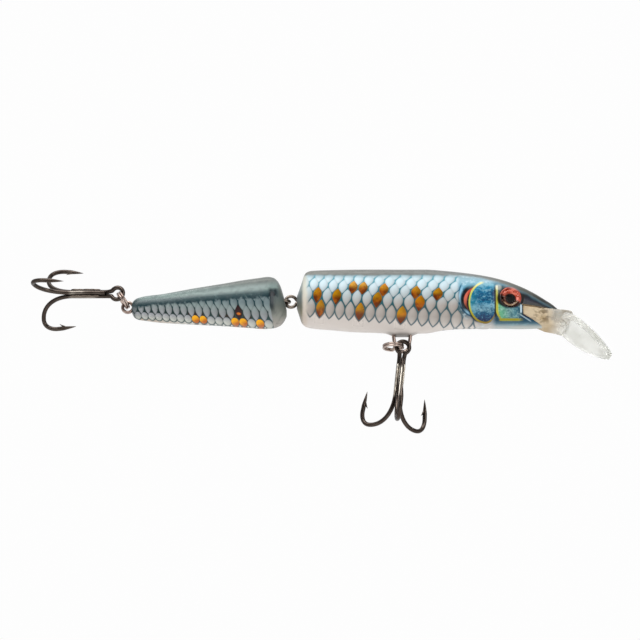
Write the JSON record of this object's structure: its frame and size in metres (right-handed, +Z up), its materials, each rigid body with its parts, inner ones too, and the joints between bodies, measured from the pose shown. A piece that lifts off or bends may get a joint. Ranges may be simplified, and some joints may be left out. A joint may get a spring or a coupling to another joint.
{
  "type": "jointed crankbait lure",
  "caption": "Two-section jointed minnow lure with a clear diving lip, domed eyes, split rings and treble hooks.",
  "frame": {"origin": "centre of the line-tie eye's ring at the nose", "axes": "+X towards the nose and lip, +Z up (back of the fish), the right flank faces -Y"},
  "size_m": [0.1787, 0.0254, 0.055],
  "materials": {
    "painted_shell": "printed fish-scale finish under clear gloss lacquer",
    "clear_lip": "clear moulded polycarbonate, polished",
    "eye_print": "printed disc, red ring round a black pupil",
    "eye_dome": "clear domed resin",
    "nickel_wire": "bright nickel wire, lightly smoked",
    "split_ring_steel": "polished stainless spring wire with a warm tint",
    "black_nickel": "black nickel plating",
    "braze": "bright braze metal",
    "lead": "dull cast weight metal",
    "ball_steel": "polished bearing steel"
  },
  "bodies": {
    "front": {"front_shell_right": "painted_shell", "front_shell_left": "painted_shell", "diving_lip": "clear_lip", "line_tie_eye": "nickel_wire", "eye_disc_right": "eye_print", "eye_disc_left": "eye_print", "eye_dome_right": "eye_dome", "eye_dome_left": "eye_dome", "front_joint_eye": "nickel_wire", "belly_hanger": "nickel_wire", "belly_ballast": "lead"},
    "rattle": {"rattle_balls": "ball_steel"},
    "tail": {"tail_shell_right": "painted_shell", "tail_shell_left": "painted_shell", "tail_joint_eye": "nickel_wire", "tail_hook_eye": "nickel_wire", "tail_ballast": "lead"},
    "belly_ring": {"belly_split_ring": "split_ring_steel"},
    "belly_treble": {"belly_treble_double": "black_nickel", "belly_treble_single": "black_nickel", "belly_treble_braze": "braze"},
    "tail_ring": {"tail_split_ring": "split_ring_steel"},
    "tail_treble": {"tail_treble_double": "black_nickel", "tail_treble_single": "black_nickel", "tail_treble_braze": "braze"}
  },
  "joints": [
    {"name": "body_joint", "type": "hinge", "parent": "front", "child": "tail", "pos_m": [-0.08475, 0, 0.0049], "axis": [0, 0, 1], "range_deg": [-45, 45]},
    {"name": "belly_ring_swing", "type": "hinge", "parent": "front", "child": "belly_ring", "pos_m": [-0.0486, -0.00065, -0.0097], "axis": [0, 1, 0], "range_deg": [-20, 20]},
    {"name": "belly_treble_swing", "type": "hinge", "parent": "belly_ring", "child": "belly_treble", "pos_m": [-0.0486, -0.00065, -0.0097], "axis": [0, 1, 0], "range_deg": [-40, 40]},
    {"name": "tail_ring_swing", "type": "hinge", "parent": "tail", "child": "tail_ring", "pos_m": [-0.1332, 0, 0.0031], "axis": [0, 1, 0], "range_deg": [-100, 20]},
    {"name": "tail_treble_swing", "type": "hinge", "parent": "tail_ring", "child": "tail_treble", "pos_m": [-0.13618, 0, 0.0076], "axis": [0, 1, 0], "range_deg": [-30, 60]},
    {"name": "rattle_roll", "type": "slide", "parent": "front", "child": "rattle", "axis": [1, 0, 0], "range_m": [-0.003, 0.003]}
  ]
}
